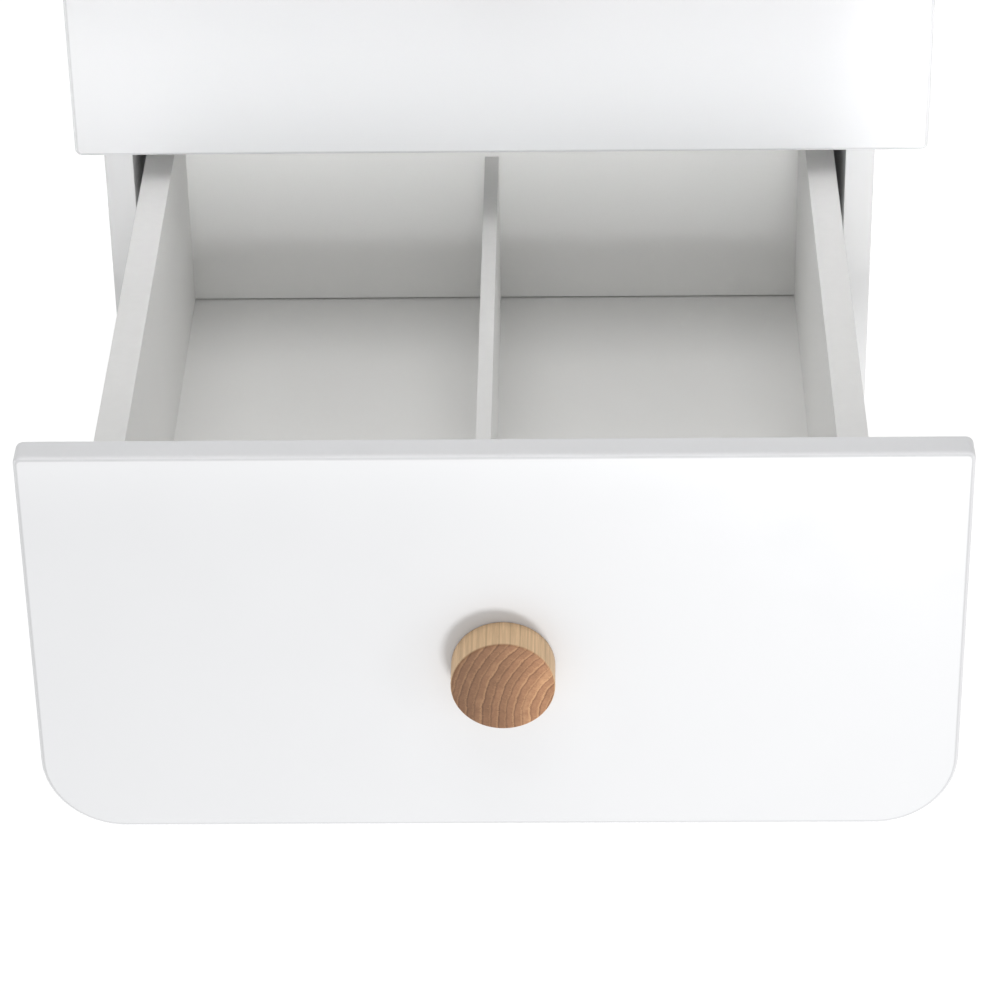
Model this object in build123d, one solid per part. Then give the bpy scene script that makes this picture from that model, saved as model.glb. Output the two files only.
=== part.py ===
from build123d import *
import os

# A small two-drawer desk organizer of lacquered board with turned oak knobs.
# Frame: X to the right along the drawer fronts, Y from the front to the back, Z up.
# The origin is on the surface that the feet stand on, under the middle of the fronts, and
# half way along the whole depth with the lower drawer pulled out. All sizes are millimetres.
# The lower drawer is drawn pulled out and the upper one closed.

# Fronts
FRONT_WIDTH = 360.0
FRONT_HEIGHT = 173.5  # from a front's lower edge to the datum that its drawer box hangs from
FRONT_GAP = 2.4
FRONT_THICK = 13.0
CORNER_RADIUS = 32.0
SQUARE_CORNER_RADIUS = 3.0
EDGE_ROUND = 1.8
LIP = 10.0  # how far the pair of fronts stands past the carcass, above and below

# Knobs
KNOB_DIAMETER = 40.2
KNOB_LENGTH = 15.0
KNOB_EDGE_ROUND = 1.2
KNOB_FOOT_CHAMFER = 0.4
KNOB_FROM_EDGE = 78.1  # from the edge with the large corners
KNOB_X = 2.5

# Boards
BOARD = 12.0
THIN_BOARD = 6.0
BACK_BOARD = 5.0
GROOVE = 6.0
DADO = 3.0

# Drawer box, measured from its datum
BOX_CENTRE_X = -5.4
BOX_WIDTH = 295.2
BOX_LENGTH = 304.0
BOX_TOP_DROP = 11.2
DIVIDER_DROP = 36.9
FLOOR_DROP = 109.2
SKIRT = 12.0  # how far the box sides reach below the floor board
FLOOR_PLAY = 0.7  # the open joint over the floor board, under the inner front and the back
PULLED_OUT = 234.0  # the lower drawer, as drawn
DRAWER_TRAVEL = 240.0

# Carcass
SIDE_GAP = 4.6
CARCASS_DEPTH = 320.0
STANDOFF = 1.6  # from a closed front to the carcass edges
TOP_CLEARANCE = 8.2
BACK_INSET = 8.0
BACK_GROOVE = 4.0
RAIL_DEPTH = 60.0
RAIL_ABOVE_GAP = 4.0
FOOT_HEIGHT = 20.0
FOOT_RADIUS = 15.0
FOOT_TAPER = 2.5
FOOT_EDGE_ROUND = 1.5
FOOT_INSET = 36.0
TOP_EDGE_ROUND = 1.0
BUMPER_RADIUS = 4.0
BUMPER_EDGE_ROUND = 0.7
BUMPER_HEIGHT = 40.0  # above a front's lower edge
BUMPER_PLAY = 0.1

# Runners, one pair under each drawer
STEEL = 1.2
RUNNER_LENGTH = 300.0
RUNNER_SETBACK = 3.0  # behind the drawer front
RUNNER_DROP = 32.0  # from the floor board's underside to the fixed rail's lower edge
RAIL_WEB = 16.0  # top of the fixed rail's web above its lower edge
CHANNEL_NEAR = 20.0  # the fixed channel's two walls, from the carcass side
CHANNEL_FAR = 44.0
CHANNEL_WALL = 10.0
SLEEVE_GAP = 1.4
SLEEVE_WALL = 13.0
ROLLER_CLEARANCE = 0.1
CARRIAGE_LENGTH = 50.0
CARRIAGE_SETBACK = 5.0  # behind the rail's front end, with the drawer pushed in
CAGE_PLAY = 1.0  # beside the carriage, in the fixed channel
CAGE_HALF_HEIGHT = 4.0
CAGE_RAIL = 2.5  # the cage's two long sides
AXLE_RADIUS = 1.5
AXLE_PLAY = 0.1
ROLLER_PLAY = 0.8  # round a roller in its window
ROLLER_INSET = 3.0  # from the cage's side to the roller's end
HOOK_HALF_WIDTH = 6.0
HOOK_PIN_RADIUS = 2.5
HOOK_PIN_SHORTFALL = 4.0  # the pin stops this far short of the board's far face

# Catches under the drawer floor, with a lever that frees the runner
CATCH_NEAR = 48.0
CATCH_FAR = 80.0
CATCH_START = 15.0
CATCH_END = 59.0
CATCH_HEIGHT = 12.0
CATCH_SKIN = 2.5
SLOT_END = 45.0
LEVER_PIVOT = (60.0, 35.0)  # distance from the carcass side, and from the fronts' face
LEVER_PIN_RADIUS = 3.0
LEVER_PIN_PLAY = 0.05
LEVER_CLEARANCE = 0.4
LEVER_BOSS = 4.0  # the wall of the lever's boss round its pin
LEVER_HALF_WIDTH = 4.0
LEVER_HOOK_HALF_WIDTH = 3.0
LEVER_HOOK_PLAY = 0.3
LEVER_TAB_START = 4.0  # beyond the catch's far side
LEVER_TAB_END = 14.0
LEVER_TAB_HALF_WIDTH = 9.0
NOTCH_HALF = 7.0
CATCH_CORNER_RADIUS = 2.0

# Screws. A head's radius and height are in shank radii
HEAD_RADII = 2.0
PAN_HEAD_RADII = 1.2
HEAD_ROOM = 0.3
SCREW_BITE = 9.0  # how far a short screw goes into its board
RUNNER_SCREW_RADIUS = 1.75
RUNNER_SCREW_PLACES = (40.0, 160.0, 290.0)  # behind the fronts' face
FRONT_SCREW_RADIUS = 2.0
FRONT_SCREW_SKIN = 4.0  # of the front, left before the screw's point
FRONT_SCREW_ASIDE = 100.0
FRONT_SCREW_DROPS = (35.0, 85.0)
BOX_SCREW_RADIUS = 1.75
BOX_SCREW_LENGTH = 30.0
BOX_SCREW_DROPS = (30.0, 90.0)
FLOOR_SCREW_RADIUS = 1.5
FLOOR_SCREW_LENGTH = 15.0
FLOOR_SCREW_SPACING = 45.0
CATCH_SCREW_INSET = 7.0

# Levels and planes that follow from the sizes above
LOWER_DATUM = FOOT_HEIGHT - LIP + FRONT_HEIGHT
UPPER_DATUM = LOWER_DATUM + FRONT_GAP + FRONT_HEIGHT
TOP_UNDERSIDE = UPPER_DATUM - BOX_TOP_DROP + TOP_CLEARANCE
CARCASS_TOP = TOP_UNDERSIDE + BOARD
UPPER_FRONT_TOP = CARCASS_TOP + LIP
CARCASS_FRONT = FRONT_THICK + STANDOFF  # behind the face of a closed front
CARCASS_REAR = CARCASS_FRONT + CARCASS_DEPTH
FACE_Y = (PULLED_OUT + KNOB_LENGTH - CARCASS_REAR) / 2  # the face of a closed front
INNER_WIDTH = BOX_WIDTH + 2 * SIDE_GAP
FLOOR_UNDERSIDE = -FLOOR_DROP - THIN_BOARD
RUNNER_LOW = FLOOR_UNDERSIDE - RUNNER_DROP
BOX_REAR = FRONT_THICK + BOX_LENGTH
SIDES = {"left": -1, "right": 1}
DRAWERS = {"lower": (LOWER_DATUM, PULLED_OUT), "upper": (UPPER_DATUM, 0.0)}

CENTRED = (Align.CENTER, Align.CENTER, Align.CENTER)
UPWARD = (Align.CENTER, Align.CENTER, Align.MIN)
DOWNWARD = (Align.CENTER, Align.CENTER, Align.MAX)


def block(x, y, z):
    """A box between two x values, two y values and two z values."""
    centre = ((x[0] + x[1]) / 2, (y[0] + y[1]) / 2, (z[0] + z[1]) / 2)
    return Pos(*centre) * Box(abs(x[1] - x[0]), abs(y[1] - y[0]), abs(z[1] - z[0]), align=CENTRED)


def placed(shape, point, direction):
    """Stand a shape drawn along +Z at a point, with its +Z along a direction."""
    return Plane(origin=point, z_dir=direction) * shape


def plug(radius, length):
    """A round plug centred on the origin along Z, for dowels and pins."""
    return Cylinder(radius, length, align=CENTRED)


def countersunk(radius, length):
    """A countersunk wood screw with its flat head at the origin and its point at -Z."""
    head = Cone(radius, HEAD_RADII * radius, radius, align=DOWNWARD)
    shank = Pos(0, 0, -radius) * Cylinder(radius, length - 3 * radius, align=DOWNWARD)
    point = Pos(0, 0, 2 * radius - length) * Cone(radius / 4, radius, 2 * radius, align=DOWNWARD)
    return head + shank + point


def pan_head(radius, length):
    """A screw with a domed head that stands on the surface at the origin, its shank at -Z."""
    height = PAN_HEAD_RADII * radius
    head = Cylinder(HEAD_RADII * radius, height, align=UPWARD)
    head = fillet(head.edges().group_by(Axis.Z)[-1], height / 2)
    return head + Cylinder(radius, length, align=DOWNWARD)


def cross_recess(radius):
    """The driver recess of a screw whose head's top is at the origin."""
    arm = Box(2 * radius, 0.4 * radius, 1.2 * radius)
    return arm + Rot(0, 0, 90) * arm


def with_recess(screw, radius, point, direction, head_height=0.0):
    """Place a screw and cut its driver recess."""
    tip = Pos(0, 0, head_height) * cross_recess(radius)
    return placed(screw - tip, point, direction)


def group(solids):
    """Several separate solids as one node."""
    flat = []
    for solid in solids:
        flat.extend(solid.solids())
    return Compound(flat)


# Places on the right-hand and left-hand halves, mirrored about the drawer box's centre


def from_side(side, distance):
    """X at a distance inward from a carcass side's inner face."""
    return BOX_CENTRE_X + SIDES[side] * (INNER_WIDTH / 2 - distance)


def spans(side, near, far):
    """The x range between two distances from a carcass side's inner face."""
    return sorted((from_side(side, near), from_side(side, far)))


def inward(side):
    return (-SIDES[side], 0, 0)


def outward(side):
    return (SIDES[side], 0, 0)


# Carcass: the side boards stand on the feet, the top lies over them, the bottom is between them

DOWEL_RADIUS = 3.0
DOWEL_LENGTH = 24.0
DOWEL_SHALLOW = 8.0  # the part of a dowel or bolt that sits in a board's face
CAM_RADIUS = 7.5
CAM_DEPTH = 9.5
CAM_SLOT = (10.0, 1.6, 3.0)
CAM_SETBACK = 24.0
CAM_BOLT_RADIUS = 2.5
CAM_BOLT_HEAD = 3.5
DOWEL_INSETS = (20.0, 160.0, 300.0)  # behind the carcass's front edges
CAM_INSETS = (60.0, 260.0)
RAIL_DOWEL_INSETS = (15.0, 45.0)


def cam_bolt():
    """A bolt along Z from its thread's end at the origin to the ball that the cam pulls."""
    length = DOWEL_SHALLOW + CAM_SETBACK
    shank = Cylinder(CAM_BOLT_RADIUS, length, align=UPWARD)
    head = Pos(0, 0, length - CAM_BOLT_HEAD / 2) * Cylinder(CAM_BOLT_HEAD, CAM_BOLT_HEAD)
    return shank + head


def joint_places():
    """Every corner joint: the point on the joint face, the direction into the drilled edge,
    the direction of its cam's mouth, and the distances behind the front edge."""
    places = []
    for side in SIDES:
        edge_x = from_side(side, -BOARD / 2)
        places.append(((edge_x, TOP_UNDERSIDE), (0, 0, -1), inward(side)))
        bottom_z = FOOT_HEIGHT + BOARD / 2
        places.append(((from_side(side, 0), bottom_z), inward(side), (0, 0, -1)))
    return places


def on_joint(place, inset):
    (x, z), _, _ = place
    return (x, CARCASS_FRONT + inset, z)


def moved(point, direction, distance):
    return tuple(p + distance * d for p, d in zip(point, direction))


def make_dowels():
    dowels = []
    for place in joint_places():
        for inset in DOWEL_INSETS:
            middle = moved(on_joint(place, inset), place[1], DOWEL_LENGTH / 2 - DOWEL_SHALLOW)
            dowels.append(placed(plug(DOWEL_RADIUS, DOWEL_LENGTH), middle, place[1]))
    rail_z = LOWER_DATUM + RAIL_ABOVE_GAP + BOARD / 2
    for side in SIDES:
        for inset in RAIL_DOWEL_INSETS:
            start = (from_side(side, 0), CARCASS_FRONT + inset, rail_z)
            middle = moved(start, inward(side), DOWEL_LENGTH / 2 - DOWEL_SHALLOW)
            dowels.append(placed(plug(DOWEL_RADIUS, DOWEL_LENGTH), middle, inward(side)))
    return dowels


def make_cam_bolts():
    bolts = []
    for place in joint_places():
        for inset in CAM_INSETS:
            start = moved(on_joint(place, inset), place[1], -DOWEL_SHALLOW)
            bolts.append(placed(cam_bolt(), start, place[1]))
    return bolts


def make_cam_discs(bolts):
    """Discs set flush in the board's face, each hollowed round its bolt, with a driver slot."""
    discs = []
    for place in joint_places():
        for inset in CAM_INSETS:
            centre = moved(on_joint(place, inset), place[1], CAM_SETBACK)
            mouth = moved(centre, place[2], BOARD / 2)
            disc = Cylinder(CAM_RADIUS, CAM_DEPTH, align=DOWNWARD)
            slot = Box(*CAM_SLOT)
            discs.append((placed(disc, mouth, place[2]), placed(disc - slot, mouth, place[2])))
    pockets = [pocket for pocket, _ in discs]
    shown = [disc - bolt for (_, disc), bolt in zip(discs, bolts)]
    return pockets, shown


def make_runner_screws():
    """Three pan-head screws through each fixed rail's flange into the carcass side."""
    radius = RUNNER_SCREW_RADIUS
    screw = pan_head(radius, STEEL + SCREW_BITE)
    bodies = []
    shown = []
    for datum, _ in DRAWERS.values():
        z = datum + RUNNER_LOW + RAIL_WEB / 2
        for side in SIDES:
            points = [(from_side(side, STEEL), y, z) for y in RUNNER_SCREW_PLACES]
            screws = screw_set(screw, radius, points, inward(side), PAN_HEAD_RADII * radius)
            bodies += screws[0]
            shown += screws[1]
    return bodies, shown


def make_bottom():
    x = (from_side("left", 0), from_side("right", 0))
    y = (CARCASS_FRONT, CARCASS_REAR)
    return block(x, y, (FOOT_HEIGHT, FOOT_HEIGHT + BOARD))


def make_top():
    x = (from_side("left", -BOARD), from_side("right", -BOARD))
    y = (CARCASS_FRONT, CARCASS_REAR)
    board = block(x, y, (TOP_UNDERSIDE, CARCASS_TOP))
    upper_edges = board.edges().group_by(Axis.Z)[-1]
    return fillet(upper_edges, TOP_EDGE_ROUND)


def make_side(side):
    y = (CARCASS_FRONT, CARCASS_REAR)
    return block(spans(side, -BOARD, 0), y, (FOOT_HEIGHT, TOP_UNDERSIDE))


def make_back():
    """A thin board let into a groove all round."""
    x = (from_side("left", -BACK_GROOVE), from_side("right", -BACK_GROOVE))
    y = (CARCASS_REAR - BACK_INSET - BACK_BOARD, CARCASS_REAR - BACK_INSET)
    z = (FOOT_HEIGHT + BOARD - BACK_GROOVE, TOP_UNDERSIDE + BACK_GROOVE)
    return block(x, y, z)


def make_rail():
    """The flat stretcher behind the gap between the two fronts."""
    x = (from_side("left", 0), from_side("right", 0))
    y = (CARCASS_FRONT, CARCASS_FRONT + RAIL_DEPTH)
    low = LOWER_DATUM + RAIL_ABOVE_GAP
    return block(x, y, (low, low + BOARD))


def foot_places():
    places = {}
    for side in SIDES:
        x = from_side(side, FOOT_INSET - BOARD)
        places["front_" + side] = (x, CARCASS_FRONT + FOOT_INSET)
        places["rear_" + side] = (x, CARCASS_REAR - FOOT_INSET)
    return places


FOOT_SCREW_RADIUS = 2.0
FOOT_COUNTERBORE = 8.0  # depth of the recess for a foot screw's head
FOOT_COUNTERBORE_RADIUS = 6.0


def make_foot(x, y):
    """A moulded foot, narrower below, with a recess for its screw's head."""
    foot = Cone(FOOT_RADIUS - FOOT_TAPER, FOOT_RADIUS, FOOT_HEIGHT, align=UPWARD)
    foot = fillet(foot.edges().group_by(Axis.Z)[0], FOOT_EDGE_ROUND)
    foot -= Cylinder(FOOT_COUNTERBORE_RADIUS, FOOT_COUNTERBORE, align=UPWARD)
    foot -= Cylinder(FOOT_SCREW_RADIUS, FOOT_HEIGHT, align=UPWARD)
    return Pos(x, y, 0) * foot


def make_foot_screws():
    """One screw up through each foot into the bottom board."""
    radius = FOOT_SCREW_RADIUS
    screw = pan_head(radius, FOOT_HEIGHT - FOOT_COUNTERBORE + SCREW_BITE)
    points = [(x, y, FOOT_COUNTERBORE) for x, y in foot_places().values()]
    return screw_set(screw, radius, points, (0, 0, -1), PAN_HEAD_RADII * radius)


def make_bumpers():
    """Soft dots on the side boards' front edges, which the closed fronts come to rest near."""
    dot = Cylinder(BUMPER_RADIUS, STANDOFF - BUMPER_PLAY, align=UPWARD)
    dot = fillet(dot.edges().group_by(Axis.Z)[-1], BUMPER_EDGE_ROUND)
    dots = []
    for datum, _ in DRAWERS.values():
        for side in SIDES:
            x = from_side(side, -BOARD / 2)
            z = datum - FRONT_HEIGHT + BUMPER_HEIGHT
            dots.append(placed(dot, (x, CARCASS_FRONT, z), (0, -1, 0)))
    return dots


# Runners: a fixed rail, a carriage of rollers that goes half as far, and a sleeve on the drawer


def make_fixed_rail(side):
    """Flange down the carcass side, web inward, and a channel that the rollers run in."""
    y = (FRONT_THICK + RUNNER_SETBACK, FRONT_THICK + RUNNER_SETBACK + RUNNER_LENGTH)
    low = RUNNER_LOW
    web_top = low + RAIL_WEB
    rail = block(spans(side, 0, STEEL), y, (low, web_top))
    rail += block(spans(side, 0, CHANNEL_FAR), y, (web_top - STEEL, web_top))
    wall = (web_top - STEEL, web_top + CHANNEL_WALL)
    rail += block(spans(side, CHANNEL_NEAR, CHANNEL_NEAR + STEEL), y, wall)
    rail += block(spans(side, CHANNEL_FAR - STEEL, CHANNEL_FAR), y, wall)
    return rail


def sleeve_walls(side):
    """The x ranges of the sleeve's two walls, just outside the fixed channel's."""
    near = CHANNEL_NEAR - SLEEVE_GAP
    far = CHANNEL_FAR + SLEEVE_GAP
    return spans(side, near - STEEL, near), spans(side, far, far + STEEL)


def make_sleeve(side):
    """The drawer's half of the runner: an inverted channel with a hook behind the box."""
    top = FLOOR_UNDERSIDE
    near_wall, far_wall = sleeve_walls(side)
    x = (min(near_wall + far_wall), max(near_wall + far_wall))
    y = (FRONT_THICK + RUNNER_SETBACK, BOX_REAR + STEEL)
    sleeve = block(x, y, (top - STEEL, top))
    for wall in (near_wall, far_wall):
        sleeve += block(wall, (y[0], BOX_REAR), (top - SLEEVE_WALL, top))
    hook_top = top + THIN_BOARD + BOARD
    hook_x = (sum(x) / 2 - HOOK_HALF_WIDTH, sum(x) / 2 + HOOK_HALF_WIDTH)
    sleeve += block(hook_x, (BOX_REAR, BOX_REAR + STEEL), (top - STEEL, hook_top))
    sleeve += hook_pin(side)
    notch_y = (LEVER_PIVOT[1] - NOTCH_HALF, LEVER_PIVOT[1] + NOTCH_HALF)
    notch_z = (top - SLEEVE_WALL - STEEL, top - CATCH_SKIN)
    return sleeve - block((far_wall[0] - STEEL, far_wall[1] + STEEL), notch_y, notch_z)


def hook_pin(side):
    """The pin of a runner's hook, which goes into the back of the drawer box."""
    near_wall, far_wall = sleeve_walls(side)
    middle = (near_wall[0] + far_wall[1]) / 2
    point = (middle, BOX_REAR, FLOOR_UNDERSIDE + THIN_BOARD + BOARD / 2)
    pin = Cylinder(HOOK_PIN_RADIUS, BOARD - HOOK_PIN_SHORTFALL, align=UPWARD)
    return placed(pin, point, (0, -1, 0))


def make_carriage(side):
    """A cage with two rollers on their axles, between the fixed channel and the sleeve."""
    low = RUNNER_LOW + RAIL_WEB
    high = FLOOR_UNDERSIDE - STEEL
    roller_radius = (high - low) / 2 - ROLLER_CLEARANCE
    middle_z = (high + low) / 2
    middle_x = from_side(side, (CHANNEL_NEAR + CHANNEL_FAR) / 2)
    half_width = (CHANNEL_FAR - CHANNEL_NEAR) / 2 - STEEL - CAGE_PLAY
    front_end = FRONT_THICK + RUNNER_SETBACK + CARRIAGE_SETBACK + DRAWER_TRAVEL / 2
    window_half = (half_width - CAGE_RAIL, roller_radius + ROLLER_PLAY, 2 * CAGE_HALF_HEIGHT)
    cage = Box(2 * half_width, CARRIAGE_LENGTH, 2 * CAGE_HALF_HEIGHT)
    rollers = []
    for end in (-1, 1):
        centre = (0, end * CARRIAGE_LENGTH / 4, 0)
        cage -= Pos(*centre) * Box(*(2 * half for half in window_half))
        cage -= placed(plug(AXLE_RADIUS + AXLE_PLAY, 3 * half_width), centre, (1, 0, 0))
        roller = plug(roller_radius, 2 * (half_width - ROLLER_INSET))
        roller += plug(AXLE_RADIUS, 2 * half_width)
        rollers.append(placed(roller, centre, (1, 0, 0)))
    here = Pos(middle_x, front_end + CARRIAGE_LENGTH / 2, middle_z)
    return group([here * piece for piece in [cage] + rollers])


# Catches: a clip screwed under the floor, and a lever on its pin


def catch_levels():
    """The z range of a catch and of the slot that its lever swings in."""
    top = FLOOR_UNDERSIDE
    outer = (top - CATCH_HEIGHT, top)
    return outer, (outer[0] + CATCH_SKIN, outer[1] - CATCH_SKIN)


def lever_pin(side, radius, z):
    x = from_side(side, LEVER_PIVOT[0])
    return Pos(x, LEVER_PIVOT[1], z[0]) * Cylinder(radius, z[1] - z[0], align=UPWARD)


def about_hinge(half_width):
    """The y range of a lever's part that is centred on its pin."""
    return (LEVER_PIVOT[1] - half_width, LEVER_PIVOT[1] + half_width)


def make_catch(side):
    outer, slot = catch_levels()
    body = block(spans(side, CATCH_NEAR, CATCH_FAR), (CATCH_START, CATCH_END), outer)
    body = fillet(body.edges().filter_by(Axis.Z), CATCH_CORNER_RADIUS)
    wide = spans(side, CATCH_NEAR - CATCH_SKIN, CATCH_FAR + CATCH_SKIN)
    body -= block(wide, (CATCH_START - CATCH_SKIN, SLOT_END), slot)
    return body + lever_pin(side, LEVER_PIN_RADIUS - LEVER_PIN_PLAY, slot)


def make_lever(side):
    """A flat lever: a hook into the sleeve's notch, a round boss, and a finger tab."""
    _, slot = catch_levels()
    z = (slot[0] + LEVER_CLEARANCE, slot[1] - LEVER_CLEARANCE)
    tab_x = (CATCH_FAR + LEVER_TAB_START, CATCH_FAR + LEVER_TAB_END)
    arm_start = CATCH_NEAR + CATCH_CORNER_RADIUS
    hook_start = CHANNEL_FAR + SLEEVE_GAP + LEVER_HOOK_PLAY
    lever = lever_pin(side, LEVER_PIN_RADIUS + LEVER_BOSS, z)
    lever += block(spans(side, arm_start, sum(tab_x) / 2), about_hinge(LEVER_HALF_WIDTH), z)
    lever += block(spans(side, hook_start, arm_start + 1), about_hinge(LEVER_HOOK_HALF_WIDTH), z)
    tab = block(spans(side, *tab_x), about_hinge(LEVER_TAB_HALF_WIDTH), z)
    lever += fillet(tab.edges().filter_by(Axis.Z), LEVER_HALF_WIDTH)
    return lever - lever_pin(side, LEVER_PIN_RADIUS, z)


# Drawer: its box is drawn closed, with its datum at z = 0 and its front's face at y = 0


def box_x(distance):
    """The x range of the box, taken in by a distance at each side."""
    half = BOX_WIDTH / 2 - distance
    return (BOX_CENTRE_X - half, BOX_CENTRE_X + half)


def make_box_side(side):
    x = spans(side, SIDE_GAP, SIDE_GAP + BOARD)
    return block(x, (FRONT_THICK, BOX_REAR), (FLOOR_UNDERSIDE - SKIRT, -BOX_TOP_DROP))


def make_box_floor():
    """The floor board, let into the sides, under the inner front and the back."""
    return block(box_x(BOARD - GROOVE), (FRONT_THICK, BOX_REAR), (FLOOR_UNDERSIDE, -FLOOR_DROP))


def box_end_levels():
    """The z range of the inner front and the back, which stand a little clear of the floor."""
    return (FLOOR_PLAY - FLOOR_DROP, -BOX_TOP_DROP)


def make_inner_front():
    return block(box_x(BOARD), (FRONT_THICK, FRONT_THICK + BOARD), box_end_levels())


def make_box_back():
    return block(box_x(BOARD), (BOX_REAR - BOARD, BOX_REAR), box_end_levels())


def make_divider():
    """The thin board along the middle, let a little into the inner front and the back."""
    x = (BOX_CENTRE_X - THIN_BOARD / 2, BOX_CENTRE_X + THIN_BOARD / 2)
    y = (FRONT_THICK + BOARD - DADO, BOX_REAR - BOARD + DADO)
    return block(x, y, (-FLOOR_DROP, -DIVIDER_DROP))


def front_levels(name):
    """A front's lower and upper edges. The upper front also covers the carcass top."""
    if name == "lower":
        return -FRONT_HEIGHT, 0.0
    return -FRONT_HEIGHT, UPPER_FRONT_TOP - UPPER_DATUM


def knob_place(name):
    low, high = front_levels(name)
    if name == "lower":
        return (KNOB_X, 0, low + KNOB_FROM_EDGE)
    return (KNOB_X, 0, high - KNOB_FROM_EDGE)


def make_front(name):
    """A board with two large corners, at the pair's outer edge, and softly rounded edges."""
    low, high = front_levels(name)
    outline = RectangleRounded(FRONT_WIDTH, high - low, SQUARE_CORNER_RADIUS)
    half_width = FRONT_WIDTH / 2
    half_height = (high - low) / 2
    end = -1 if name == "lower" else 1
    for corner in (-1, 1):
        spot = Pos(corner * half_width, end * half_height)
        square = spot * Rectangle(2 * CORNER_RADIUS, 2 * CORNER_RADIUS)
        centre = Pos(corner * (half_width - CORNER_RADIUS), end * (half_height - CORNER_RADIUS))
        outline -= square - centre * Circle(CORNER_RADIUS)
    plane = Plane(origin=(0, 0, (low + high) / 2), x_dir=(1, 0, 0), z_dir=(0, -1, 0))
    board = extrude(plane * outline, -FRONT_THICK)
    rims = board.edges().filter_by_position(Axis.Y, 0, 0) + board.edges().filter_by_position(
        Axis.Y, FRONT_THICK, FRONT_THICK
    )
    return fillet(rims, EDGE_ROUND)


def make_knob(name):
    """A plain turned cylinder with its rims softened."""
    knob = Cylinder(KNOB_DIAMETER / 2, KNOB_LENGTH, align=UPWARD)
    knob = fillet(knob.edges().group_by(Axis.Z)[-1], KNOB_EDGE_ROUND)
    knob = chamfer(knob.edges().group_by(Axis.Z)[0], KNOB_FOOT_CHAMFER)
    return placed(knob, knob_place(name), (0, -1, 0))


KNOB_SCREW_RADIUS = 2.0
KNOB_SCREW_SEAT = 3.5  # depth of the head's seat in the back of the front


def make_knob_screw(name):
    """The screw's body, and the room that its head needs behind it."""
    x, _, z = knob_place(name)
    seat = (x, FRONT_THICK - KNOB_SCREW_SEAT, z)
    screw = pan_head(KNOB_SCREW_RADIUS, FRONT_THICK - KNOB_SCREW_SEAT + SCREW_BITE)
    head_height = PAN_HEAD_RADII * KNOB_SCREW_RADIUS
    shown = with_recess(screw, KNOB_SCREW_RADIUS, seat, (0, 1, 0), head_height)
    room_radius = HEAD_RADII * KNOB_SCREW_RADIUS + HEAD_ROOM
    room = Cylinder(room_radius, KNOB_SCREW_SEAT, align=UPWARD)
    return placed(screw, seat, (0, 1, 0)), shown, placed(room, seat, (0, 1, 0))


def screw_set(screw, radius, points, direction, head_height=0.0):
    """The same screw at several points: the bodies that cut the boards, and those with recesses."""
    bodies = [placed(screw, point, direction) for point in points]
    shown = [with_recess(screw, radius, point, direction, head_height) for point in points]
    return bodies, shown


def make_front_screws():
    """Four screws from inside the box through the inner front into the front."""
    radius = FRONT_SCREW_RADIUS
    points = []
    for way in SIDES.values():
        for drop in FRONT_SCREW_DROPS:
            x = BOX_CENTRE_X + way * FRONT_SCREW_ASIDE
            points.append((x, FRONT_THICK + BOARD, -drop))
    screw = pan_head(radius, BOARD + FRONT_THICK - FRONT_SCREW_SKIN)
    return screw_set(screw, radius, points, (0, 1, 0), PAN_HEAD_RADII * radius)


def box_end_middles():
    """The y of the middle of the inner front's thickness, and of the back's."""
    return (FRONT_THICK + BOARD / 2, BOX_REAR - BOARD / 2)


def make_box_screws():
    """Countersunk screws through the sides into the ends of the inner front and the back."""
    screw = countersunk(BOX_SCREW_RADIUS, BOX_SCREW_LENGTH)
    bodies = []
    shown = []
    for side in SIDES:
        points = []
        for y in box_end_middles():
            for drop in BOX_SCREW_DROPS:
                points.append((from_side(side, SIDE_GAP), y, -drop))
        screws = screw_set(screw, BOX_SCREW_RADIUS, points, outward(side))
        bodies += screws[0]
        shown += screws[1]
    return bodies, shown


def make_floor_screws():
    """Short screws up through the floor, and through the catches into the floor."""
    points = []
    for step in (-1, 0, 1):
        for y in box_end_middles():
            points.append((BOX_CENTRE_X + step * FLOOR_SCREW_SPACING, y, FLOOR_UNDERSIDE))
    points += catch_screw_points()
    screw = countersunk(FLOOR_SCREW_RADIUS, FLOOR_SCREW_LENGTH)
    return screw_set(screw, FLOOR_SCREW_RADIUS, points, (0, 0, -1))


CATCH_SCREW_SEAT = 1.5  # how far a catch screw's head is sunk below the catch's face
CATCH_SCREW_ROOM = 3.0  # the radius of the well below it


def catch_screw_points():
    """Where the heads of the catches' screws sit, two to a catch."""
    points = []
    for side in SIDES:
        for distance in (CATCH_NEAR + CATCH_SCREW_INSET, CATCH_FAR - CATCH_SCREW_INSET):
            y = (SLOT_END + CATCH_END) / 2
            z = FLOOR_UNDERSIDE - CATCH_HEIGHT + CATCH_SCREW_SEAT
            points.append((from_side(side, distance), y, z))
    return points


def catch_screw_rooms():
    """The wells below the catch screws' heads."""
    room = Cylinder(CATCH_SCREW_ROOM, 2 * CATCH_SCREW_SEAT, align=DOWNWARD)
    return [Pos(*point) * room for point in catch_screw_points()]


def cut(board, cutters):
    for cutter in cutters:
        board -= cutter
    return board


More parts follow.
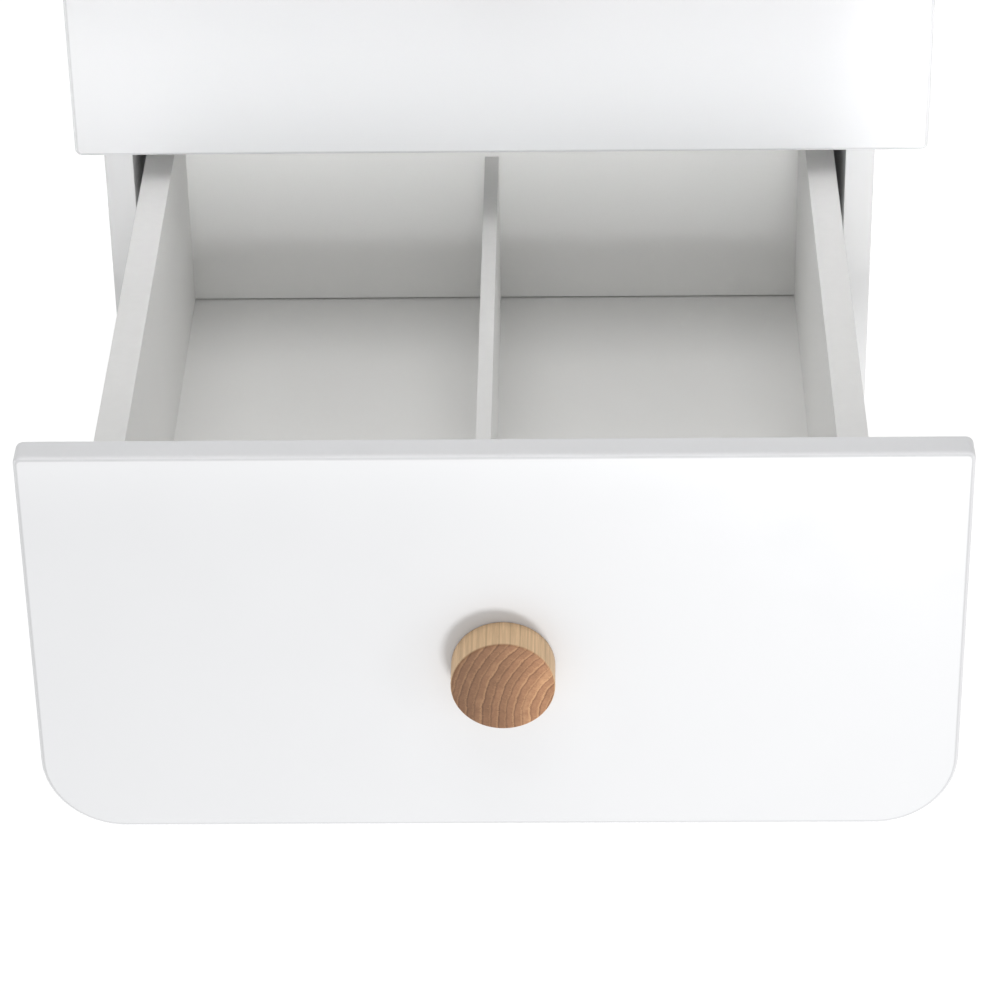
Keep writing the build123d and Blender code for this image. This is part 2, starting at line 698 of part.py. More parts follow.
def drawer_nodes(name):
    """All pieces of one drawer, keyed by node, drawn at its datum and closed."""
    divider = make_divider()
    floor = make_box_floor()
    knob_screw, knob_screw_shown, knob_screw_room = make_knob_screw(name)
    front_screws, front_screws_shown = make_front_screws()
    box_screws, box_screws_shown = make_box_screws()
    floor_screws, floor_screws_shown = make_floor_screws()
    joinery = [floor, divider] + box_screws + floor_screws
    pins = [hook_pin(side) for side in SIDES]
    nodes = {
        "front": cut(make_front(name), front_screws + [knob_screw, knob_screw_room]),
        "knob": make_knob(name) - knob_screw,
        "knob_screw": knob_screw_shown,
        "inner_front": cut(make_inner_front(), joinery + front_screws),
        "box_back": cut(make_box_back(), joinery + pins),
        "box_floor": cut(floor, floor_screws),
        "divider": divider,
        "front_screws": group(front_screws_shown),
        "box_screws": group(box_screws_shown),
        "floor_screws": group(floor_screws_shown),
    }
    for side in SIDES:
        nodes["box_" + side] = cut(make_box_side(side), [floor] + box_screws)
        nodes[side + "_sleeve"] = make_sleeve(side)
        nodes[side + "_catch"] = cut(make_catch(side), floor_screws + catch_screw_rooms())
        nodes[side + "_release_lever"] = make_lever(side)
    return nodes


def carcass_nodes():
    """All fixed pieces, keyed by node, with closed fronts' faces at y = 0."""
    dowels = make_dowels()
    cam_bolts = make_cam_bolts()
    pockets, cam_discs = make_cam_discs(cam_bolts)
    foot_screws, foot_screws_shown = make_foot_screws()
    runner_screws, runner_screws_shown = make_runner_screws()
    back = make_back()
    joinery = dowels + cam_bolts + pockets + [back]
    nodes = {
        "carcass_top": cut(make_top(), joinery),
        "carcass_bottom": cut(make_bottom(), joinery + foot_screws),
        "carcass_back": back,
        "carcass_rail": cut(make_rail(), dowels),
        "carcass_dowels": group(dowels),
        "cam_bolts": group(cam_bolts),
        "cam_discs": group(cam_discs),
        "foot_screws": group(foot_screws_shown),
        "runner_screws": group(runner_screws_shown),
        "front_bumpers": group(make_bumpers()),
    }
    for side in SIDES:
        nodes["carcass_" + side] = cut(make_side(side), joinery + runner_screws)
        for name, (datum, _) in DRAWERS.items():
            rail = Pos(0, 0, datum) * make_fixed_rail(side)
            nodes[name + "_" + side + "_rail"] = cut(rail, runner_screws)
    for name, (x, y) in foot_places().items():
        nodes["foot_" + name] = make_foot(x, y)
    return nodes


def all_nodes():
    """Every node of the object in its own place."""
    nodes = {name: Pos(0, FACE_Y, 0) * shape for name, shape in carcass_nodes().items()}
    for drawer, (datum, pulled) in DRAWERS.items():
        here = Pos(0, FACE_Y - pulled, datum)
        for name, shape in drawer_nodes(drawer).items():
            nodes[drawer + "_" + name] = here * shape
        half_way = Pos(0, FACE_Y - pulled / 2, datum)
        for side in SIDES:
            nodes[drawer + "_" + side + "_carriage"] = half_way * make_carriage(side)
    return nodes


os.makedirs("parts", exist_ok=True)
for node, shape in all_nodes().items():
    export_step(shape, "parts/" + node + ".step")
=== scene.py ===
import math

import bmesh
import bpy
from mathutils import Matrix, Vector


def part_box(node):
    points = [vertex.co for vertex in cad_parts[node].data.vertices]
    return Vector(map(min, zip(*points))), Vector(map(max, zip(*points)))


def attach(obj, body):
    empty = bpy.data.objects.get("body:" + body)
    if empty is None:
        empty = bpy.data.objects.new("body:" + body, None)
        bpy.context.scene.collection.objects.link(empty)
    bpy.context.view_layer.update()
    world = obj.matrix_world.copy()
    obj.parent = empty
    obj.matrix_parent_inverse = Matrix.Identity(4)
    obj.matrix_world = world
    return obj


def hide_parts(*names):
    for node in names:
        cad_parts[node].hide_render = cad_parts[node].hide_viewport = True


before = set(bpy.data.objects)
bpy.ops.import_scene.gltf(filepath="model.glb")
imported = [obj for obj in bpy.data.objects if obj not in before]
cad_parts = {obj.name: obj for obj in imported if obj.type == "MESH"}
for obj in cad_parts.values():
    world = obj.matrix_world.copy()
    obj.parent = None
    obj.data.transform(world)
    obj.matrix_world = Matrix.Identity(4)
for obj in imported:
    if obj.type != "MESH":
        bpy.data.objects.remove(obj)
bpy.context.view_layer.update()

DRAWERS = ("lower", "upper")
SIDES = ("left", "right")
MM = 0.001


# ---------------------------------------------------------------- material building blocks


class Shader:
    """One material's node tree, with short calls for the nodes used here."""

    def __init__(self, name):
        self.material = bpy.data.materials.new(name)
        self.material.use_nodes = True
        self.tree = self.material.node_tree
        self.bsdf = self.tree.nodes["Principled BSDF"]
        coordinates = self.tree.nodes.new("ShaderNodeTexCoord")
        self.place = coordinates.outputs["Object"]
        self.normal = coordinates.outputs["Normal"]

    def set(self, **values):
        """Constants straight on the shader's own sockets."""
        for name, value in values.items():
            self.bsdf.inputs[name.replace("_", " ")].default_value = value

    def feed(self, node, sources):
        """Give each input a link or a constant. A colour constant has three channels."""
        for key, value in sources.items():
            socket = node.inputs[key]
            if isinstance(value, bpy.types.NodeSocket):
                self.tree.links.new(value, socket)
            elif socket.type == "RGBA":
                socket.default_value = (*value, 1.0)
            else:
                socket.default_value = value
        return node

    def node(self, kind, sources):
        return self.feed(self.tree.nodes.new(kind), sources)

    def math(self, operation, a, b=0.0, c=0.0):
        node = self.node("ShaderNodeMath", {0: a, 1: b, 2: c})
        node.operation = operation
        return node.outputs[0]

    def vector(self, operation, a, b=(0, 0, 0)):
        node = self.node("ShaderNodeVectorMath", {0: a, 1: b})
        node.operation = operation
        return node.outputs["Value" if operation in ("DOT_PRODUCT", "LENGTH") else "Vector"]

    def component(self, vector, axis):
        return self.node("ShaderNodeSeparateXYZ", {0: vector}).outputs[axis]

    def combined(self, x, y, z):
        return self.node("ShaderNodeCombineXYZ", {0: x, 1: y, 2: z}).outputs[0]

    def stretched(self, scale, place=None):
        """A place, or the object's own coordinates, scaled along each axis."""
        return self.vector("MULTIPLY", place or self.place, scale)

    def noise(self, place, scale, detail=2.0, roughness=0.5):
        """Smooth noise with about `scale` features to the metre."""
        sources = {"Vector": place, "Scale": scale, "Detail": detail, "Roughness": roughness}
        return self.node("ShaderNodeTexNoise", sources).outputs["Fac"]

    def cells(self, place, scale, feature="F1"):
        """The distance to the nearest of about `scale` cell centres to the metre."""
        node = self.node("ShaderNodeTexVoronoi", {"Vector": place, "Scale": scale})
        node.feature = feature
        return node.outputs["Distance"]

    def ramp(self, value, *stops):
        """A straight-line curve through (position, level) stops. A level is a number or a colour."""
        node = self.node("ShaderNodeValToRGB", {"Fac": value})
        elements = node.color_ramp.elements
        while len(elements) > 1:
            elements.remove(elements[-1])
        for index, (position, level) in enumerate(stops):
            element = elements[0] if index == 0 else elements.new(position)
            colour = level if isinstance(level, tuple) else (level, level, level)
            element.position = position
            element.color = (*colour, 1.0)
        return node.outputs["Color"]

    def mix(self, factor, a, b, blend="MIX"):
        node = self.tree.nodes.new("ShaderNodeMix")
        node.data_type = "RGBA"
        node.blend_type = blend
        return self.feed(node, {0: factor, 6: a, 7: b}).outputs[2]

    def lay(self, over, under, mask, strength):
        """One colour laid over another where the mask is near 1, no more than at a strength."""
        return self.mix(self.math("MULTIPLY", mask, strength), under, over)

    def facing(self, axis):
        """How squarely the surface faces either way along an axis, from 0 to 1."""
        return self.math("ABSOLUTE", self.component(self.normal, axis))

    def edge_mask(self, radius):
        """Near 1 on convex and concave edges within a radius, and 0 on flats."""
        bevel = self.node("ShaderNodeBevel", {"Radius": radius})
        bevel.samples = 6
        geometry = self.tree.nodes.new("ShaderNodeNewGeometry")
        dot = self.vector("DOT_PRODUCT", bevel.outputs[0], geometry.outputs["Normal"])
        return self.ramp(self.math("SUBTRACT", 1.0, dot), (0.02, 0.0), (0.25, 1.0))

    def colour(self, source):
        self.tree.links.new(source, self.bsdf.inputs["Base Color"])

    def roughness(self, value, *stops):
        """Roughness by a curve through (position, roughness) stops."""
        self.tree.links.new(self.ramp(value, *stops), self.bsdf.inputs["Roughness"])

    def bump(self, height, distance, strength=1.0):
        sources = {"Height": height, "Distance": distance, "Strength": strength}
        node = self.node("ShaderNodeBump", sources)
        self.tree.links.new(node.outputs[0], self.bsdf.inputs["Normal"])


def scaled(colour, factor):
    return tuple(channel * factor for channel in colour)


# ---------------------------------------------------------------- board materials

FRONT_WHITE = (0.655, 0.659, 0.669)
CARCASS_WHITE = (0.800, 0.802, 0.805)
DRAWER_WHITE = (0.920, 0.918, 0.905)
# The drawer floors are a darker copy of the drawer white, as painted shade.
DRAWER_FLOOR_PAINTED_SHADE = 0.965
BACK_WHITE = (0.78, 0.775, 0.76)
PEEL_HEIGHT = 0.012 * MM
PEBBLE_HEIGHT = 0.02 * MM


def painted_light_on_top(s, tint, white):
    """A front's top edge is painted a touch paler than its face, as painted light from above."""
    upward = s.ramp(s.component(s.normal, "Z"), (0.5, 0.0), (0.95, 1.0))
    return s.mix(upward, tint, scaled(white, 1.17))


def painted_shade_inside_edge(s, tint, white):
    """A faint darker line painted where the flat face turns into a rounded edge, as painted shade."""
    shade_line = s.ramp(s.facing("Y"), (0.80, 0.0), (0.92, 1.0), (0.985, 1.0), (0.998, 0.0))
    return s.lay(scaled(white, 0.80), tint, mask=shade_line, strength=0.85)


def painted_shade_on_ends(s, tint, white):
    """A board's edges that face the front and the back are painted slightly greyer than the rest, as
    painted shade.
    """
    return s.mix(s.ramp(s.facing("Y"), (0.70, 0.0), (0.95, 1.0)), tint, scaled(white, 0.80))


def lacquered_board(name, white, roughness, trims=()):
    """Sprayed satin lacquer: an orange-peel skin, faint cloudiness and slightly rubbed edges."""
    s = Shader(name)
    clouds = s.noise(s.place, scale=9.0, detail=3.0)
    tint = s.mix(clouds, scaled(white, 0.985), white)
    dust = s.ramp(s.noise(s.place, scale=900.0), (0.70, 0.0), (0.78, 1.0))
    tint = s.lay(scaled(white, 0.80), tint, mask=dust, strength=0.06)
    # the trims paint light and shade into the tint
    for trim in trims:
        tint = trim(s, tint, white)
    rubbed = s.math("MULTIPLY", s.edge_mask(0.8 * MM), s.noise(s.place, scale=60.0, detail=4.0))
    s.colour(s.lay(scaled(white, 0.86), tint, mask=rubbed, strength=0.10))
    handled = s.noise(s.place, scale=35.0, detail=4.0)
    s.roughness(handled, (0.3, roughness - 0.04), (0.7, roughness + 0.04))
    peel = s.noise(s.place, scale=420.0, roughness=0.4)
    fine = s.noise(s.place, scale=2200.0)
    s.bump(s.math("MULTIPLY_ADD", fine, 0.15, peel), PEEL_HEIGHT)
    s.set(Specular_IOR_Level=0.5, IOR=1.48)
    return s.material


def banding_and_painted_shade(s, tint, white):
    """Upper edges carry a band of their own, faintly streaked, and a little greyer as painted shade.
    """
    upward = s.ramp(s.component(s.normal, "Z"), (0.6, 0.0), (0.95, 1.0))
    streaks = s.noise(s.stretched((1.0, 1.0, 8.0)), scale=260.0, detail=3.0)
    return s.mix(upward, tint, s.mix(streaks, scaled(white, 0.82), scaled(white, 0.86)))


def faced_board(name, white, roughness, banded_and_shaded=False):
    """Melamine-faced board: a fine pressed pebble texture, with a faint seam along the edges."""
    s = Shader(name)
    clouds = s.noise(s.place, scale=14.0, detail=4.0)
    tint = s.mix(clouds, scaled(white, 0.975), scaled(white, 1.01))
    specks = s.ramp(s.noise(s.place, scale=1300.0, detail=1.0), (0.66, 0.0), (0.74, 1.0))
    tint = s.lay(scaled(white, 0.72), tint, mask=specks, strength=0.07)
    # the upper edges' band is also greyer, as painted shade
    if banded_and_shaded:
        tint = banding_and_painted_shade(s, tint, white)
    s.colour(s.lay(scaled(white, 0.72), tint, mask=s.edge_mask(0.9 * MM), strength=0.16))
    worn = s.noise(s.place, scale=50.0, detail=3.0)
    s.roughness(worn, (0.3, roughness - 0.05), (0.7, roughness + 0.05))
    pebble = s.cells(s.place, scale=1500.0, feature="SMOOTH_F1")
    fine = s.noise(s.place, scale=3000.0)
    s.bump(s.math("MULTIPLY_ADD", fine, 0.4, pebble), PEBBLE_HEIGHT, strength=0.7)
    s.set(Specular_IOR_Level=0.4)
    return s.material


# ---------------------------------------------------------------- wood

OAK_LIGHT = (0.515, 0.288, 0.146)
OAK_MID = (0.305, 0.152, 0.078)
OAK_DARK = (0.140, 0.062, 0.031)
OAK_SIDE = (0.680, 0.470, 0.280)
RING_SPACING = 3.1 * MM
RING_WOBBLE = 2.6 * MM
PITH_RIGHT = 37.0 * MM
PITH_ABOVE = -14.5 * MM
PAINTED_LIGHT_WIDTH = 40.0 * MM  # over which painted light makes the face paler towards the right
RAYS_ALONG = 330.0  # to the metre, along a radius
RAYS_ROUND = 190.0  # to the radian, round the pith
PORE_DEPTH = 0.06 * MM


def along_grain(s, place, stretch):
    """A place squeezed along Y, so that a pattern made from it runs in long streaks that way."""
    return s.stretched((1.0, stretch, 1.0), place)


class Growth:
    """Where each point lies in the rings of a tree whose pith runs along Y, beside the knob."""

    def __init__(self, s, centre):
        self.local = s.vector("SUBTRACT", s.place, tuple(centre))
        flat = along_grain(s, self.local, stretch=0.02)
        self.from_pith = s.vector("SUBTRACT", flat, (PITH_RIGHT, 0.0, PITH_ABOVE))
        wobble = s.noise(flat, scale=130.0, detail=3.0, roughness=0.6)
        radius = s.vector("LENGTH", self.from_pith)
        self.distance = s.math("MULTIPLY_ADD", wobble, RING_WOBBLE, radius)
        rings = s.math("MULTIPLY", self.distance, 1.0 / RING_SPACING)
        self.phase = s.math("FRACT", rings)
        ring = s.combined(s.math("FLOOR", rings), 0.5, 0.5)
        self.year = s.noise(ring, scale=3.7, detail=0.0)
        patch = s.noise(flat, scale=210.0, detail=4.0, roughness=0.7)
        self.tone = s.math("MULTIPLY_ADD", patch, 0.50, s.math("MULTIPLY", self.year, 0.45))


def ray_flecks(s, wood):
    """Short pale flecks that lie along the radii."""
    angle = s.math("ARCTAN2", s.component(wood.from_pith, "Z"), s.component(wood.from_pith, "X"))
    along = s.math("MULTIPLY", wood.distance, RAYS_ALONG)
    across = s.math("MULTIPLY", angle, RAYS_ROUND)
    flecks = s.noise(s.combined(along, across, 0.0), scale=1.0, detail=3.0, roughness=0.7)
    return s.ramp(flecks, (0.56, 0.0), (0.70, 1.0))


def open_pores(s, wood):
    """Fine pits, dense in the wood that each ring began with and sparse after it."""
    cells = s.cells(along_grain(s, wood.local, stretch=0.04), scale=1500.0)
    dense = s.ramp(wood.phase, (0.0, 1.0), (0.25, 1.0), (0.45, 0.35), (1.0, 0.45))
    return s.math("MULTIPLY", s.ramp(cells, (0.0, 1.0), (0.36, 0.0)), dense)


def end_grain(s, wood, pale, pores):
    """The knob's face: rings in three tones, with rays and pores, and painted light that makes it
    paler towards the right.
    """
    darker = scaled(OAK_MID, 0.82)
    lighter = scaled(OAK_MID, 1.12)
    tint = s.ramp(wood.tone, (0.30, darker), (0.50, lighter), (0.70, OAK_LIGHT))
    tint = s.lay(OAK_LIGHT, tint, mask=pale, strength=s.ramp(wood.year, (0.35, 0.25), (0.65, 0.85)))
    late = s.ramp(wood.phase, (0.0, 1.0), (0.07, 0.0), (0.80, 0.0), (0.94, 1.0))
    tint = s.lay(OAK_DARK, tint, mask=late, strength=s.ramp(wood.year, (0.30, 0.80), (0.70, 0.20)))
    tint = s.lay(scaled(OAK_LIGHT, 1.15), tint, mask=ray_flecks(s, wood), strength=0.60)
    tint = s.lay(OAK_DARK, tint, mask=pores, strength=0.85)
    # painted light: the face is darker at the left and paler at the right
    across = s.math("MULTIPLY_ADD", s.component(wood.local, "X"), 1.0 / PAINTED_LIGHT_WIDTH, 0.5)
    painted_light = s.ramp(across, (0.13, 0.54), (0.5, 0.74), (0.87, 1.10))
    return s.mix(1.0, tint, painted_light, "MULTIPLY")


def rim_grain(s, wood, streaks):
    """The knob's rim: fine streaks and the rings as straight lines."""
    streaky = s.ramp(streaks, (0.35, 0.0), (0.7, 1.0))
    tint = s.mix(streaky, scaled(OAK_SIDE, 0.80), scaled(OAK_SIDE, 1.10))
    lines = s.ramp(wood.phase, (0.0, 1.0), (0.10, 0.0), (0.90, 0.0), (1.0, 1.0))
    strength = s.ramp(wood.year, (0.30, 0.75), (0.70, 0.15))
    return s.lay(scaled(OAK_SIDE, 0.45), tint, mask=lines, strength=strength)


def oak(name, centre):
    """Oak with its grain along Y, so that a knob shows end grain on its face."""
    s = Shader(name)
    wood = Growth(s, centre)
    pale = s.ramp(wood.phase, (0.0, 0.0), (0.10, 1.0), (0.20, 0.9), (0.32, 0.0))
    pores = open_pores(s, wood)
    fine = along_grain(s, wood.local, stretch=0.05)
    streaks = s.noise(fine, scale=700.0, detail=4.0, roughness=0.65)
    on_face = s.ramp(s.facing("Y"), (0.35, 0.0), (0.85, 1.0))
    s.colour(s.mix(on_face, rim_grain(s, wood, streaks), end_grain(s, wood, pale, pores)))
    s.roughness(wood.tone, (0.2, 0.66), (0.8, 0.52))
    relief = s.math("MULTIPLY_ADD", pores, -1.0, s.math("MULTIPLY", pale, 0.3))
    s.bump(s.math("MULTIPLY_ADD", streaks, 0.35, relief), PORE_DEPTH, strength=0.8)
    s.set(Specular_IOR_Level=0.3)
    return s.material


def beech(name):
    """Beech, for the dowels: fine even streaks."""
    s = Shader(name)
    streaks = s.noise(s.place, scale=700.0, detail=4.0, roughness=0.6)
    s.colour(s.ramp(streaks, (0.3, (0.47, 0.30, 0.17)), (0.7, (0.66, 0.47, 0.29))))
    s.roughness(streaks, (0.3, 0.65), (0.7, 0.5))
    s.bump(streaks, 0.03 * MM)
    return s.material


# ---------------------------------------------------------------- metal, plastic and rubber


def zinc_sheet(name, tint, grain_scale):
    """Zinc-plated steel: a fine rolled grain along Y, soft spangle and brighter rubbed edges."""
    s = Shader(name)
    grain = s.noise(along_grain(s, s.place, stretch=0.03), grain_scale, detail=4.0, roughness=0.6)
    spangle = s.ramp(s.cells(s.place, scale=160.0), (0.1, 0.0), (0.8, 1.0))
    tone = s.mix(spangle, scaled(tint, 0.86), tint)
    tone = s.lay(scaled(tint, 0.72), tone, mask=grain, strength=0.35)
    s.colour(s.mix(s.edge_mask(0.5 * MM), tone, scaled(tint, 1.15)))
    s.roughness(grain, (0.3, 0.28), (0.75, 0.46))
    s.bump(grain, 0.01 * MM)
    s.set(Metallic=1.0)
    return s.material


def moulded_plastic(name, tint, roughness):
    """Moulded plastic: a spark-eroded mould texture, with edges polished by handling."""
    s = Shader(name)
    clouds = s.noise(s.place, scale=90.0, detail=3.0)
    tone = s.mix(clouds, scaled(tint, 0.9), scaled(tint, 1.08))
    s.colour(s.lay(scaled(tint, 1.5), tone, mask=s.edge_mask(0.6 * MM), strength=0.3))
    grain = s.noise(s.place, scale=2600.0, detail=3.0, roughness=0.6)
    s.roughness(grain, (0.35, roughness - 0.06), (0.65, roughness + 0.08))
    s.bump(grain, 0.02 * MM)
    return s.material


def rubber(name, tint):
    """Soft rubber: matt, with a pale bloom."""
    s = Shader(name)
    bloom = s.noise(s.place, scale=120.0, detail=4.0, roughness=0.6)
    s.colour(s.mix(bloom, scaled(tint, 0.8), scaled(tint, 1.35)))
    grain = s.noise(s.place, scale=1800.0, detail=3.0)
    s.roughness(grain, (0.3, 0.72), (0.7, 0.9))
    s.bump(grain, 0.03 * MM)
    s.set(Specular_IOR_Level=0.25)
    return s.material


# ---------------------------------------------------------------- pieces

KNOB_STEPS = 160
FACE_ROUNDING = 1.1 * MM
REAR_BEVEL = (0.5 * MM, 0.4 * MM)  # across the back, and along the rim
BOARD_EDGE = 0.5 * MM
BOX_EDGE = 0.35 * MM


def finish_with(node, material, edge=0.0):
    """Give a CAD node its material and, if asked, softly rounded edges."""
    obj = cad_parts[node]
    obj.data.materials.clear()
    obj.data.materials.append(material)
    if edge:
        bevel = obj.modifiers.new("softened_edges", "BEVEL")
        bevel.width = edge
        bevel.segments = 2
        bevel.limit_method = "ANGLE"
        bevel.angle_limit = math.radians(50)
        bevel.harden_normals = True


def ring_of_points(bm, radius, y):
    """A ring about the Y axis, or a single point on it."""
    if radius == 0:
        return [bm.verts.new((0, y, 0))]
    turns = [2 * math.pi * i / KNOB_STEPS for i in range(KNOB_STEPS)]
    return [bm.verts.new((radius * math.cos(a), y, radius * math.sin(a))) for a in turns]


def lathe(name, profile):
    """A body turned about Y from (radius, y) points. A radius of 0 closes an end."""
    bm = bmesh.new()
    rings = [ring_of_points(bm, radius, y) for radius, y in profile]
    for ring, following in zip(rings, rings[1:]):
        for i in range(KNOB_STEPS):
            corners = [ring[i % len(ring)], ring[(i + 1) % len(ring)]]
            corners += [following[(i + 1) % len(following)], following[i % len(following)]]
            bm.faces.new(list(dict.fromkeys(corners)))
    bmesh.ops.recalc_face_normals(bm, faces=bm.faces)
    for face in bm.faces:
        face.smooth = True
    mesh = bpy.data.meshes.new(name)
    bm.to_mesh(mesh)
    bm.free()
    return add_object(name, mesh)


def add_object(name, data):
    obj = bpy.data.objects.new(name, data)
    bpy.context.scene.collection.objects.link(obj)
    return obj


def knob_profile(radius, length, arc_steps=6):
    """From the middle of the back, round the small rear bevel, along the rim, to the face."""
    points = [(0.0, 0.0), (radius * 0.5, 0.0), (radius - REAR_BEVEL[0], 0.0), (radius, -REAR_BEVEL[1])]
    points += [(radius, -length * part) for part in (0.25, 0.5, 0.75)]
    for step in range(arc_steps + 1):
        a = math.pi / 2 * step / arc_steps
        out = FACE_ROUNDING * (math.cos(a) - 1)
        forward = FACE_ROUNDING * (1 - math.sin(a))
        points.append((radius + out, -length + forward))
    points += [(radius * part, -length) for part in (0.85, 0.6, 0.3)]
    return points + [(0.0, -length)]


def knob_centre(drawer):
    """The middle of a knob's face."""
    low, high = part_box(drawer + "_knob")
    return Vector(((low[0] + high[0]) / 2, low[1], (low[2] + high[2]) / 2))


def make_knob(drawer):
    """A turned oak knob in place of the CAD one."""
    low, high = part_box(drawer + "_knob")
    length = high[1] - low[1]
    knob = lathe(drawer + "_turned_knob", knob_profile((high[0] - low[0]) / 2, length))
    face = knob_centre(drawer)
    knob.data.transform(Matrix.Translation(face + Vector((0, length, 0))))
    knob.data.materials.append(oak(drawer + "_oak", face))
    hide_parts(drawer + "_knob")
    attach(knob, drawer + "_drawer")


def dress_carcass():
    board = lacquered_board("carcass_lacquer", CARCASS_WHITE, 0.42, trims=[painted_shade_on_ends])
    for part in ("top", "bottom", "left", "right", "rail"):
        finish_with("carcass_" + part, board, BOARD_EDGE)
    finish_with("carcass_back", faced_board("back_hardboard", BACK_WHITE, 0.6))
    finish_with("carcass_dowels", beech("dowel_beech"))
    finish_with("cam_discs", zinc_sheet("cam_zinc", (0.48, 0.48, 0.50), 900.0))
    finish_with("front_bumpers", rubber("bumper_rubber", (0.62, 0.63, 0.64)))
    foot = rubber("foot_rubber", (0.030, 0.030, 0.033))
    for end in ("front", "rear"):
        for side in SIDES:
            finish_with("foot_" + end + "_" + side, foot)


def dress_screws():
    screw = zinc_sheet("screw_steel", (0.56, 0.57, 0.60), 1500.0)
    for node in ("cam_bolts", "foot_screws", "runner_screws"):
        finish_with(node, screw)
    for drawer in DRAWERS:
        for part in ("knob_screw", "front_screws", "box_screws", "floor_screws"):
            finish_with(drawer + "_" + part, screw)


def dress_drawers():
    lacquer = lacquered_board("front_lacquer", FRONT_WHITE, 0.36, [painted_light_on_top, painted_shade_inside_edge])
    board = faced_board("drawer_melamine", DRAWER_WHITE, 0.5, banded_and_shaded=True)
    # the floor board is the drawer white darkened, as painted shade
    painted_shade_floor_white = scaled(DRAWER_WHITE, DRAWER_FLOOR_PAINTED_SHADE)
    painted_shade_floor_board = faced_board("drawer_floor_melamine", painted_shade_floor_white, 0.5)
    for drawer in DRAWERS:
        finish_with(drawer + "_front", lacquer)
        make_knob(drawer)
        for part in ("inner_front", "box_back", "box_left", "box_right", "divider"):
            finish_with(drawer + "_" + part, board, BOX_EDGE)
        finish_with(drawer + "_box_floor", painted_shade_floor_board)


def dress_runners():
    sheet = zinc_sheet("runner_zinc", (0.62, 0.63, 0.66), 1100.0)
    finishes = {
        "rail": sheet,
        "sleeve": sheet,
        "carriage": moulded_plastic("carriage_acetal", (0.035, 0.036, 0.040), 0.42),
        "catch": moulded_plastic("catch_grey", (0.26, 0.28, 0.30), 0.45),
        "release_lever": moulded_plastic("lever_orange", (0.60, 0.16, 0.03), 0.40),
    }
    for drawer in DRAWERS:
        for side in SIDES:
            for part, material in finishes.items():
                finish_with(drawer + "_" + side + "_" + part, material)


# ---------------------------------------------------------------- camera, floor and light

# The camera stands in front and a little right of the middle, looking down at 33 degrees.
CAMERA_BEFORE_FRONTS = 1.4800
CAMERA_ABOVE_GAP = 0.7915
CAMERA_RIGHT = 0.0302
CAMERA_YAW = -1.3482
CAMERA_PITCH = 33.0
CAMERA_ROLL = -1.055
CAMERA_LENS = 143.68
SENSOR_WIDTH = 36.0

FLOOR_HALF = 14.0
FLOOR_DROP = 0.5 * MM  # below the feet
FLOOR_GREY = (0.24, 0.26)
FLOOR_GLOW = 0.88
SKY_GLOW = 0.53
STRIP_ABOVE_EDGE = 40.0 * MM  # where the strip aims on the upper front, from its lower edge


def make_camera():
    data = bpy.data.cameras.new("camera")
    data.lens = CAMERA_LENS
    data.sensor_width = SENSOR_WIDTH
    data.clip_start = 0.05
    data.clip_end = 50.0
    camera = add_object("camera", data)
    face_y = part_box("upper_front")[0][1]
    gap_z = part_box("lower_front")[1][2]
    place = Vector((CAMERA_RIGHT, face_y - CAMERA_BEFORE_FRONTS, gap_z + CAMERA_ABOVE_GAP))
    turn = (Matrix.Rotation(math.radians(-CAMERA_YAW), 4, "Z")
            @ Matrix.Rotation(math.radians(90 - CAMERA_PITCH), 4, "X")
            @ Matrix.Rotation(math.radians(CAMERA_ROLL), 4, "Z"))
    camera.matrix_world = Matrix.Translation(place) @ turn
    bpy.context.scene.camera = camera


def floor_finish():
    """A matt pale floor that glows, as a light table does."""
    s = Shader("pale_floor")
    darker, lighter = [(grey, grey, grey) for grey in FLOOR_GREY]
    s.colour(s.mix(s.noise(s.place, scale=3.0), darker, lighter))
    s.set(Roughness=0.9, Specular_IOR_Level=0.0)
    s.set(Emission_Strength=FLOOR_GLOW, Emission_Color=(1.0, 1.0, 1.0, 1.0))
    return s.material


def make_floor():
    """A wide floor that casts no shadow, so that the lamp below it shines through."""
    mesh = bpy.data.meshes.new("floor")
    corners = [(x * FLOOR_HALF, y * FLOOR_HALF, 0) for x, y in ((-1, -1), (1, -1), (1, 1), (-1, 1))]
    mesh.from_pydata(corners, [], [(0, 1, 2, 3)])
    mesh.materials.append(floor_finish())
    floor = add_object("floor", mesh)
    floor.location.z = -FLOOR_DROP
    floor.visible_shadow = False


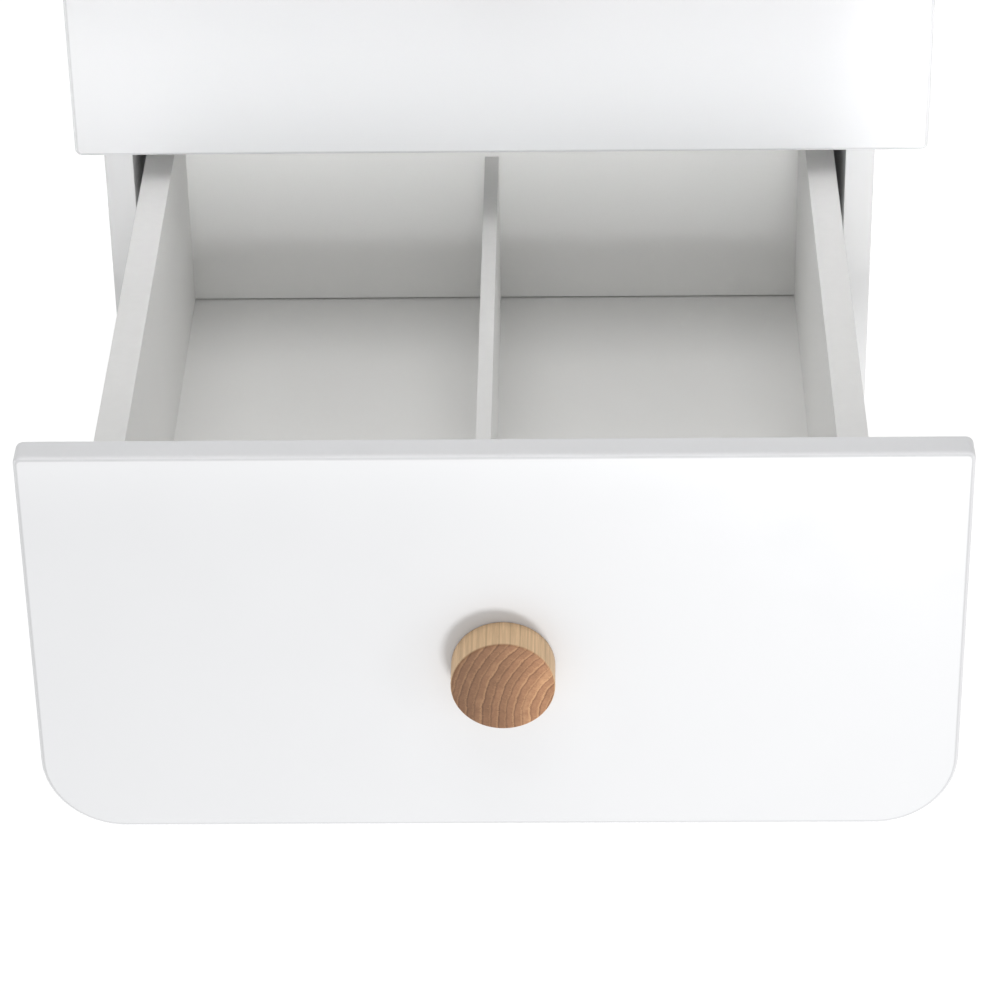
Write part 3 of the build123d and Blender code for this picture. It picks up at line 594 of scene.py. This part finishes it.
def around(target, azimuth, elevation, distance):
    """A place seen from the target at an azimuth right of the front and an elevation."""
    a, e = math.radians(azimuth), math.radians(elevation)
    way = Vector((math.cos(e) * math.sin(a), -math.cos(e) * math.cos(a), math.sin(e)))
    return target + distance * way


def make_lamp(name, place, target, size, power, spread=180.0):
    """A rectangular softbox at a place, turned towards a target. Its spread is in degrees."""
    data = bpy.data.lights.new(name, "AREA")
    data.shape = "RECTANGLE"
    data.size, data.size_y = size
    data.energy = power
    data.spread = math.radians(spread)
    lamp = add_object(name, data)
    lamp.location = place
    lamp.rotation_euler = (target - place).to_track_quat("-Z", "Y").to_euler()


def light_sky():
    """Even light from all round."""
    world = bpy.data.worlds.new("studio")
    world.use_nodes = True
    background = world.node_tree.nodes["Background"]
    background.inputs["Color"].default_value = (1.0, 1.0, 1.0, 1.0)
    background.inputs["Strength"].default_value = SKY_GLOW
    bpy.context.scene.world = world
    bpy.context.scene.view_settings.view_transform = "Standard"


def light_lamps():
    """Lamps for the sides, the tops, the fronts from below, the upper front, and the right side."""
    middle = Vector((0.0, -0.10, 0.15))
    place = around(middle, azimuth=24, elevation=18, distance=1.55)
    make_lamp("softbox", place, middle, size=(0.80, 0.45), power=0.4)
    make_lamp("overhead", Vector((0.0, -0.6, 1.6)), middle, size=(1.2, 0.8), power=6.9)

    knob = knob_centre("lower")
    place = around(knob, azimuth=13, elevation=-21, distance=1.3)
    make_lamp("table_glow", place, knob, size=(0.28, 0.20), power=7.7)

    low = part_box("upper_front")[0]
    upper = Vector((0.01, low[1], low[2] + STRIP_ABOVE_EDGE))
    place = around(upper, azimuth=1, elevation=12, distance=1.15)
    make_lamp("upper_strip", place, upper, size=(0.50, 0.10), power=0.130, spread=10.0)

    side = Vector((0.0, -0.2, 0.15))
    make_lamp("right_fill", Vector((0.85, -0.75, 0.10)), side, size=(0.15, 0.5), power=0.65)


make_camera()
make_floor()
light_sky()
light_lamps()
dress_carcass()
dress_screws()
dress_drawers()
dress_runners()
